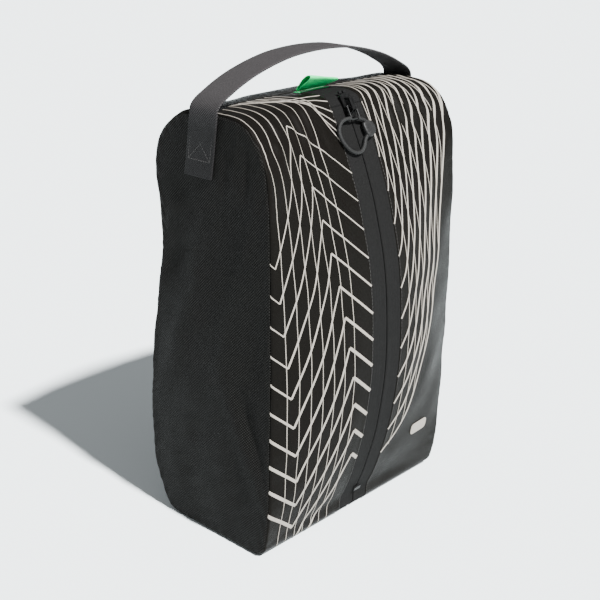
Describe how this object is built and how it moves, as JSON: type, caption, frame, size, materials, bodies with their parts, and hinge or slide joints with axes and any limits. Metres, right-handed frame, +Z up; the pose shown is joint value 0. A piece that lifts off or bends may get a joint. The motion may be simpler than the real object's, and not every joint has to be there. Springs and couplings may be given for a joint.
{
  "type": "shoe bag",
  "caption": "Upright soft shoe bag with a full-length front zipper, a webbing carry handle across the top and a ribbon loop tab.",
  "frame": {"origin": "bottom centre of the bag's box, on the surface that it stands on", "axes": "+Z up, -Y towards the zipped front, +X to the right as seen from the front"},
  "size_m": [0.2244, 0.1749, 0.3908],
  "materials": {
    "side_cloth": "tightly woven polyester with a small dobby figure, slight sheen",
    "print_cloth": "smooth woven polyester under the printed lines",
    "binding_tape": "plain woven binding tape",
    "backing": "plain backing cloth",
    "board": "stiff polypropylene board",
    "zipper_tape": "flat charcoal zipper tape and cloth band",
    "zipper_coil": "nylon monofilament coil",
    "zipper_metal": "black lacquered zinc",
    "pull_cord": "round braided cord",
    "grip": "soft moulded grip, matte",
    "webbing": "ribbed polyester webbing",
    "thread": "sewing thread",
    "tab_ribbon": "bright green satin ribbon",
    "print_ink": "warm light grey print"
  },
  "bodies": {
    "bag": {"back_panel": "side_cloth", "base_board": "board", "bottom_panel": "side_cloth", "front_mark": "print_ink", "front_panel_left": "print_cloth", "front_panel_right": "print_cloth", "handle_end_left": "webbing", "handle_end_right": "webbing", "handle_patch_left": "backing", "handle_patch_right": "backing", "handle_root_left": "webbing", "handle_root_right": "webbing", "handle_stitching_left": "thread", "handle_stitching_right": "thread", "loop_tab_anchor": "tab_ribbon", "seam_binding_left": "binding_tape", "seam_binding_right": "binding_tape", "side_panel_left": "side_cloth", "side_panel_right": "side_cloth", "zipper_bottom_stop": "zipper_metal", "zipper_coil_left": "zipper_coil", "zipper_coil_right": "zipper_coil", "zipper_tape_left": "zipper_tape", "zipper_tape_right": "zipper_tape", "zipper_top_patch": "zipper_tape", "zipper_top_stops": "zipper_metal"},
    "slider": {"slider_body": "zipper_metal", "slider_bridge": "zipper_metal"},
    "pull": {"pull_ring": "zipper_metal", "pull_cord": "pull_cord", "cord_grip": "grip"},
    "handle": {"carry_handle": "webbing"},
    "tab": {"loop_tab": "tab_ribbon"}
  },
  "joints": [
    {"name": "slider_travel", "type": "hinge", "parent": "bag", "child": "slider", "pos_m": [0, 0.2825, 0.168], "axis": [1, 0, 0], "range_deg": [0, 46.5]},
    {"name": "pull_swing", "type": "hinge", "parent": "slider", "child": "pull", "pos_m": [0, -0.04462, 0.35033], "axis": [-1, 0, 0], "range_deg": [0, 110]},
    {"name": "handle_tip", "type": "hinge", "parent": "bag", "child": "handle", "pos_m": [0, 0, 0.358], "axis": [1, 0, 0], "range_deg": [-35, 35], "stiffness_Nm_per_rad": 0.03},
    {"name": "tab_flex", "type": "hinge", "parent": "bag", "child": "tab", "pos_m": [0, -0.003, 0.3633], "axis": [1, 0, 0], "range_deg": [-30, 10], "stiffness_Nm_per_rad": 0.004}
  ]
}
